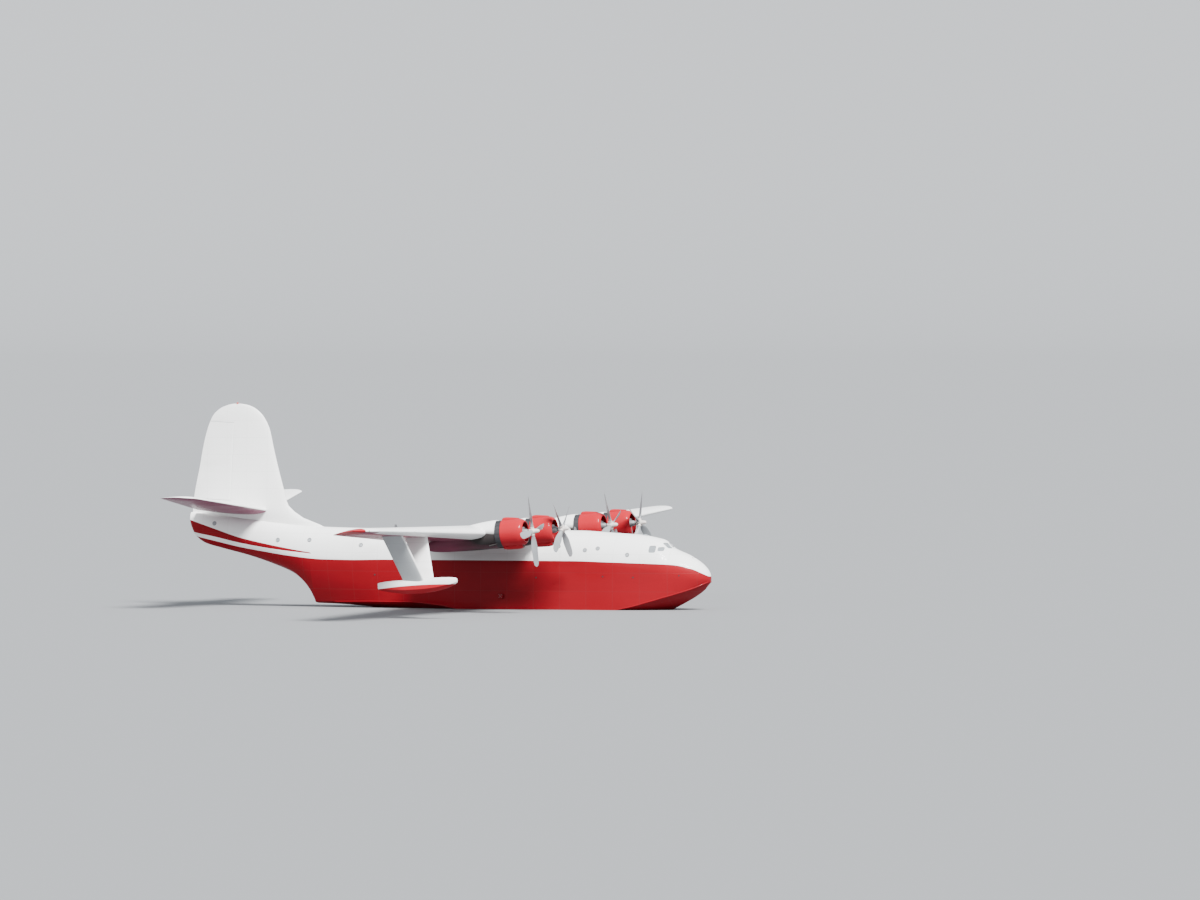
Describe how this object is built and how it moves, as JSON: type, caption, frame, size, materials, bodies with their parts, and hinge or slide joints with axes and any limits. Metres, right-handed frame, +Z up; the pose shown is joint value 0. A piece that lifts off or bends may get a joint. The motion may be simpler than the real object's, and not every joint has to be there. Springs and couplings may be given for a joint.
{
  "type": "flying boat, 1:2 scale model",
  "caption": "High-wing flying boat with a deep stepped hull, nose-mounted wing engines in red cowls, rounded tail fin and wing floats, built as a half-size scale model.",
  "frame": {"origin": "on the centreline at the resting waterline, at the station of the main step", "axes": "+X towards the bow, +Y to port, +Z up"},
  "size_m": [17.87, 30.45, 7.12],
  "materials": {
    "airframe_white": "gloss",
    "hull_red": "gloss",
    "cowl_red": "gloss",
    "tip_red": "gloss",
    "propeller_paint": "satin",
    "engine_metal": "cast",
    "fitting_metal": "satin",
    "cockpit_glass": "clear",
    "cockpit_dark": "matte",
    "seat_leather": "worn"
  },
  "bodies": {
    "airframe": {"beaching_pad_left": "fitting_metal", "beaching_pad_right": "fitting_metal", "control_column_left": "cockpit_dark", "control_column_right": "cockpit_dark", "cowl_left_inner": "cowl_red", "cowl_left_outer": "cowl_red", "cowl_right_inner": "cowl_red", "cowl_right_outer": "cowl_red", "engine_left_inner": "engine_metal", "engine_left_outer": "engine_metal", "engine_right_inner": "engine_metal", "engine_right_outer": "engine_metal", "fin": "airframe_white", "flight_deck_glazing": "cockpit_glass", "flight_deck_shell": "airframe_white", "float_left": "airframe_white", "float_right": "airframe_white", "float_strut_inboard_left": "airframe_white", "float_strut_inboard_right": "airframe_white", "float_strut_outboard_left": "airframe_white", "float_strut_outboard_right": "airframe_white", "hull_afterbody": "hull_red", "hull_forebody": "hull_red", "instrument_panel": "cockpit_dark", "nacelle_left_inner": "airframe_white", "nacelle_left_outer": "airframe_white", "nacelle_right_inner": "airframe_white", "nacelle_right_outer": "airframe_white", "seat_left": "seat_leather", "seat_right": "seat_leather", "stabiliser_left": "airframe_white", "stabiliser_right": "airframe_white", "tail_cone": "airframe_white", "throttle_pedestal": "cockpit_dark", "wing_centre": "airframe_white", "wing_outer_left": "airframe_white", "wing_outer_right": "airframe_white", "wing_tip_left": "tip_red", "wing_tip_right": "tip_red"},
    "flap_left": {"flap_left": "airframe_white"},
    "aileron_left": {"aileron_left": "airframe_white"},
    "elevator_left": {"elevator_left": "airframe_white"},
    "flap_right": {"flap_right": "airframe_white"},
    "aileron_right": {"aileron_right": "airframe_white"},
    "elevator_right": {"elevator_right": "airframe_white"},
    "rudder": {"rudder": "airframe_white"},
    "propeller_left_outer": {"propeller_left_outer": "propeller_paint"},
    "propeller_left_inner": {"propeller_left_inner": "propeller_paint"},
    "propeller_right_inner": {"propeller_right_inner": "propeller_paint"},
    "propeller_right_outer": {"propeller_right_outer": "propeller_paint"}
  },
  "joints": [
    {"name": "flap_left_hinge", "type": "hinge", "parent": "airframe", "child": "flap_left", "pos_m": [-0.83229, 1.4, 2.26558], "axis": [-0.0777, -0.9961, -0.0418], "range_deg": [0, 35]},
    {"name": "aileron_left_hinge", "type": "hinge", "parent": "airframe", "child": "aileron_left", "pos_m": [-0.28179, 8.46, 2.56189], "axis": [-0.0777, -0.9961, -0.0418], "range_deg": [-20, 20]},
    {"name": "elevator_left_hinge", "type": "hinge", "parent": "airframe", "child": "elevator_left", "pos_m": [-9.27522, 0.675, 3.19376], "axis": [-0.0247, -0.9945, -0.1013], "range_deg": [-25, 20]},
    {"name": "flap_right_hinge", "type": "hinge", "parent": "airframe", "child": "flap_right", "pos_m": [-0.83229, -1.4, 2.26558], "axis": [0.0777, -0.9961, 0.0418], "range_deg": [0, 35]},
    {"name": "aileron_right_hinge", "type": "hinge", "parent": "airframe", "child": "aileron_right", "pos_m": [-0.28179, -8.46, 2.56189], "axis": [0.0777, -0.9961, 0.0418], "range_deg": [-20, 20]},
    {"name": "elevator_right_hinge", "type": "hinge", "parent": "airframe", "child": "elevator_right", "pos_m": [-9.27522, -0.675, 3.19376], "axis": [0.0247, -0.9945, 0.1013], "range_deg": [-25, 20]},
    {"name": "rudder_hinge", "type": "hinge", "parent": "airframe", "child": "rudder", "pos_m": [-9.01, 0, 3.46], "axis": [0.0475, 0, 0.9989], "range_deg": [-25, 25]},
    {"name": "propeller_left_outer_spin", "type": "hinge", "parent": "airframe", "child": "propeller_left_outer", "pos_m": [3.275, 5.3, 2.655], "axis": [0.9962, 0, 0.0872], "continuous": true},
    {"name": "propeller_left_inner_spin", "type": "hinge", "parent": "airframe", "child": "propeller_left_inner", "pos_m": [3.275, 2.425, 2.655], "axis": [0.9962, 0, 0.0872], "continuous": true},
    {"name": "propeller_right_inner_spin", "type": "hinge", "parent": "airframe", "child": "propeller_right_inner", "pos_m": [3.275, -2.425, 2.655], "axis": [0.9962, 0, 0.0872], "continuous": true},
    {"name": "propeller_right_outer_spin", "type": "hinge", "parent": "airframe", "child": "propeller_right_outer", "pos_m": [3.275, -5.3, 2.655], "axis": [0.9962, 0, 0.0872], "continuous": true}
  ],
  "couplings": [
    {"joint": "aileron_right_hinge", "follows": "aileron_left_hinge", "ratio": -1},
    {"joint": "flap_right_hinge", "follows": "flap_left_hinge", "ratio": 1},
    {"joint": "elevator_right_hinge", "follows": "elevator_left_hinge", "ratio": 1}
  ]
}
